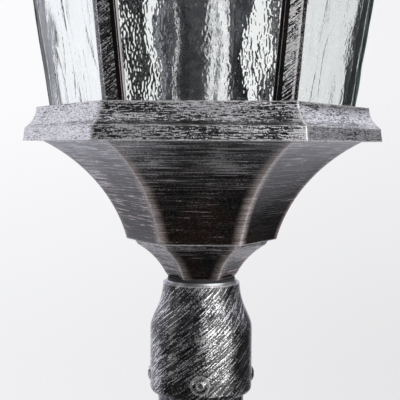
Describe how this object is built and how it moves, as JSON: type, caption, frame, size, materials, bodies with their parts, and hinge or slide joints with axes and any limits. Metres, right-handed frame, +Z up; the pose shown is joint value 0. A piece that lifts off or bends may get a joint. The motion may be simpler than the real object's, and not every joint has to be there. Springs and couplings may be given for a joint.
{
  "type": "landscape light",
  "caption": "Post-top garden light: round foot and tube post with a turned collar, carrying a hexagonal glazed lantern with a bell skirt, hollow roof and ball finial.",
  "frame": {"origin": "centre of the foot flange, on the ground", "axes": "+Z up along the post; -Y is the front, where a glass pane faces; the bare glass corners lie along X"},
  "size_m": [0.2304, 0.2, 1.0947],
  "materials": {
    "cast_metal": "cast aluminium, black paint dry-brushed with silver",
    "post_metal": "steel tube, black paint dry-brushed with silver",
    "dark_screws": "blackened screws, worn edges",
    "zinc_steel": "zinc plated",
    "rubber": "matte",
    "lead_sheath": "matte cable sheath",
    "pane_glass": "clear rippled glass with green edges",
    "holder_metal": "dark nickel plated, glossy",
    "porcelain": "unglazed white",
    "brass": "plain",
    "bulb_metal": "plain",
    "bulb_glass": "frosted",
    "terminal_plastic": "satin"
  },
  "bodies": {
    "post": {"foot": "cast_metal", "foot_screws": "dark_screws", "post_tube": "post_metal"},
    "roof": {"roof": "cast_metal", "roof_cap": "cast_metal", "finial_washer": "rubber"},
    "finial": {"finial": "cast_metal"},
    "bulb": {"bulb_envelope": "bulb_glass", "bulb_cap": "bulb_metal", "bulb_tip": "bulb_metal"},
    "head": {"bar_back_left": "cast_metal", "bar_back_right": "cast_metal", "bar_front_left": "cast_metal", "bar_front_right": "cast_metal", "bar_screws": "zinc_steel", "bridge": "zinc_steel", "bridge_screws": "zinc_steel", "collar": "cast_metal", "collar_screws": "dark_screws", "holder_base": "holder_metal", "holder_contact": "brass", "holder_core": "porcelain", "holder_shell": "holder_metal", "holder_sleeve": "brass", "neck": "cast_metal", "neck_gasket": "rubber", "neck_washer": "zinc_steel", "nipple": "zinc_steel", "nipple_nuts": "zinc_steel", "pane_back": "pane_glass", "pane_back_left": "pane_glass", "pane_back_right": "pane_glass", "pane_front": "pane_glass", "pane_front_left": "pane_glass", "pane_front_right": "pane_glass", "roof_stud": "zinc_steel", "skirt": "cast_metal", "stud_nuts": "zinc_steel", "supply_lead": "lead_sheath", "terminal_block": "terminal_plastic", "terminal_screws": "brass", "top_ring": "cast_metal", "tray": "cast_metal"}
  },
  "joints": [
    {"name": "head_swivel", "type": "hinge", "parent": "post", "child": "head", "pos_m": [0, 0, 0.669], "axis": [0, 0, 1], "range_deg": [-180, 180]},
    {"name": "roof_lift", "type": "slide", "parent": "head", "child": "roof", "axis": [0, 0, 1], "range_m": [0, 0.15]},
    {"name": "finial_turn", "type": "hinge", "parent": "roof", "child": "finial", "pos_m": [0, 0, 1.0487], "axis": [0, 0, 1], "continuous": true},
    {"name": "bulb_turn", "type": "hinge", "parent": "head", "child": "bulb", "pos_m": [0, 0, 0.8148], "axis": [0, 0, 1], "continuous": true}
  ]
}
